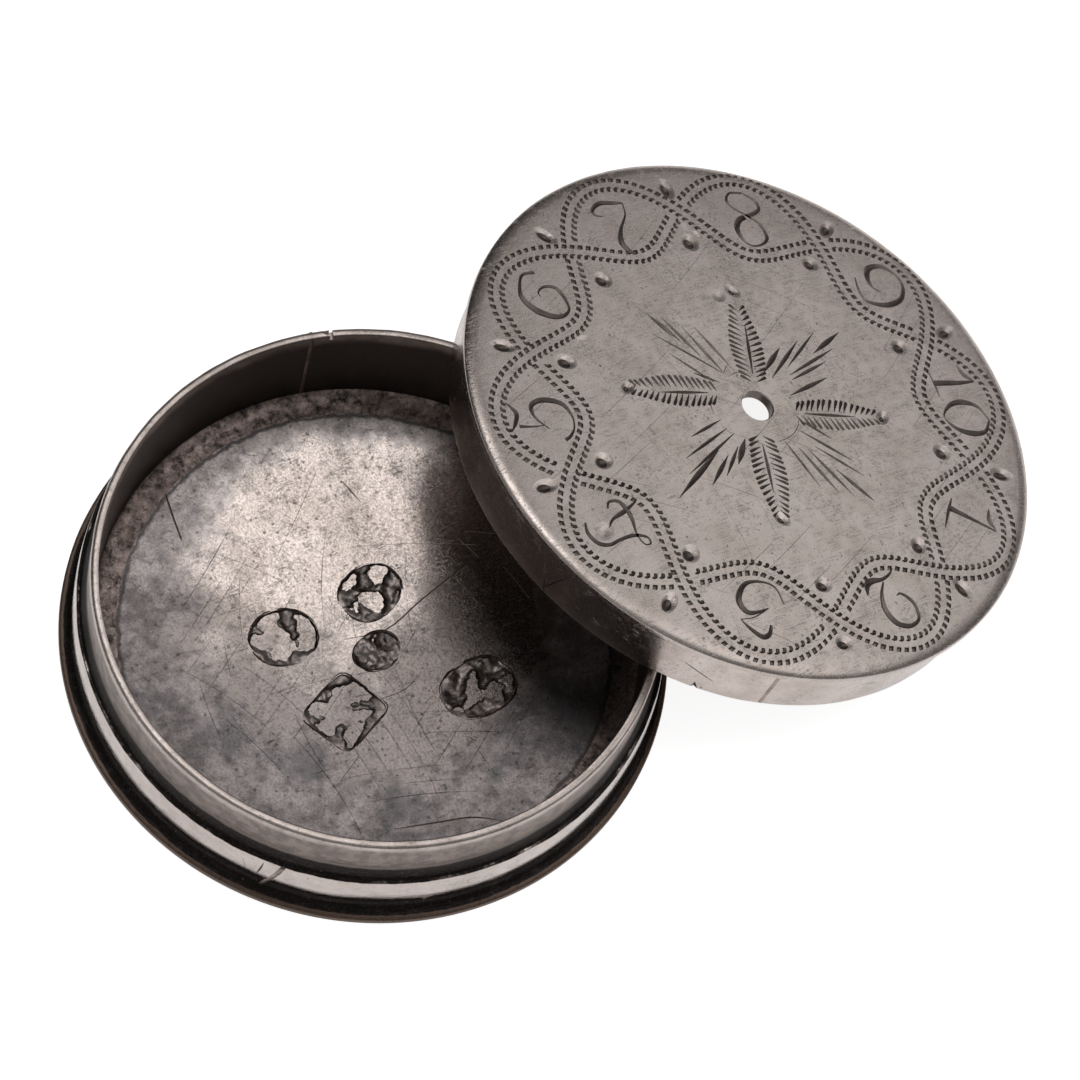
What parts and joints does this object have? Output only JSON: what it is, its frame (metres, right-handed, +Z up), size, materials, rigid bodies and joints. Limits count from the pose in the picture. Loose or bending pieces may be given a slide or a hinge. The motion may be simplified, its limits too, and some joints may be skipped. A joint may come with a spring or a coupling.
{
  "type": "round patch box",
  "caption": "Round shallow silver patch box with a moulded foot and an upright collar, and a slightly domed pull-off lid engraved with a counting dial, shown leaning on the base.",
  "frame": {"origin": "middle of the base's flat underside, on the surface that the box stands on", "axes": "+Z up along the base's own axis; +X from the base's middle towards the lid that leans on it; +Y to the left of that"},
  "size_m": [0.0731, 0.044, 0.0164],
  "materials": {
    "lid_silver": null,
    "base_silver": "tarnished silver, grey to pinkish brown, rubbed bright in the middle of the floor",
    "moulding_silver": "silver wire, polished by wear on the bead and dark in the coves",
    "solder": "silver solder, dull pinkish brown"
  },
  "bodies": {
    "base": {"base_floor": "base_silver", "base_collar": "base_silver", "collar_seam_solder": "solder", "foot_moulding": "moulding_silver", "moulding_seam_solder": "solder", "floor_solder_fillet": "solder"},
    "lid": {"lid_plate": "lid_silver", "lid_wall": "lid_silver", "lid_seam_solder": "solder", "lid_solder_fillet": "solder"}
  },
  "joints": [
    {"name": "lid_lift", "type": "slide", "parent": "base", "child": "lid", "axis": [0, 0, 1], "range_m": [0, 0.015]}
  ]
}
